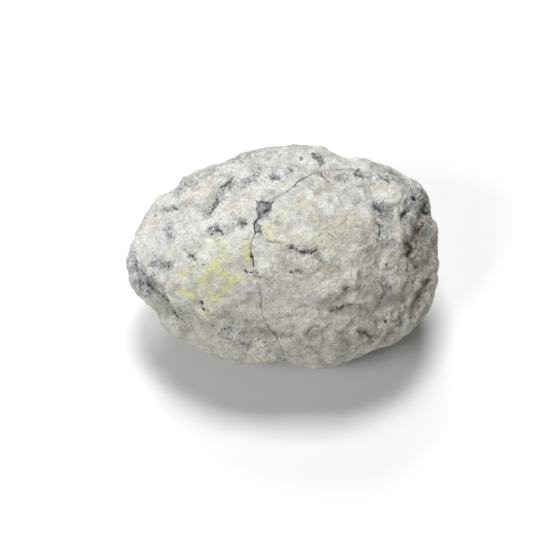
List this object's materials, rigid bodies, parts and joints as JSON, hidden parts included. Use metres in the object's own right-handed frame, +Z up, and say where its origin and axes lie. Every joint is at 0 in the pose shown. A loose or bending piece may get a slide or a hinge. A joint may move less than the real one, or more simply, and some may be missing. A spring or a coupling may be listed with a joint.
{
  "type": "unopened geode",
  "caption": "Rough, chalky, egg-shaped calcite nodule that fills a palm, unopened, with a hairline crack, a chip in its white rind, grey specks and yellow chalk smears.",
  "frame": {"origin": "the middle of the stone's bounding box, at the level of the flat spot that it rests on", "axes": "+Z up, +X along the stone's length, and the cracked face looks towards -Y and up, about 50 degrees above level"},
  "size_m": [0.1114, 0.0856, 0.0699],
  "materials": {
    "rind": "matt, chalky and rough, cream white with blue-grey specks and dull yellow smears"
  },
  "bodies": {
    "root": {"geode": "rind"}
  },
  "joints": []
}
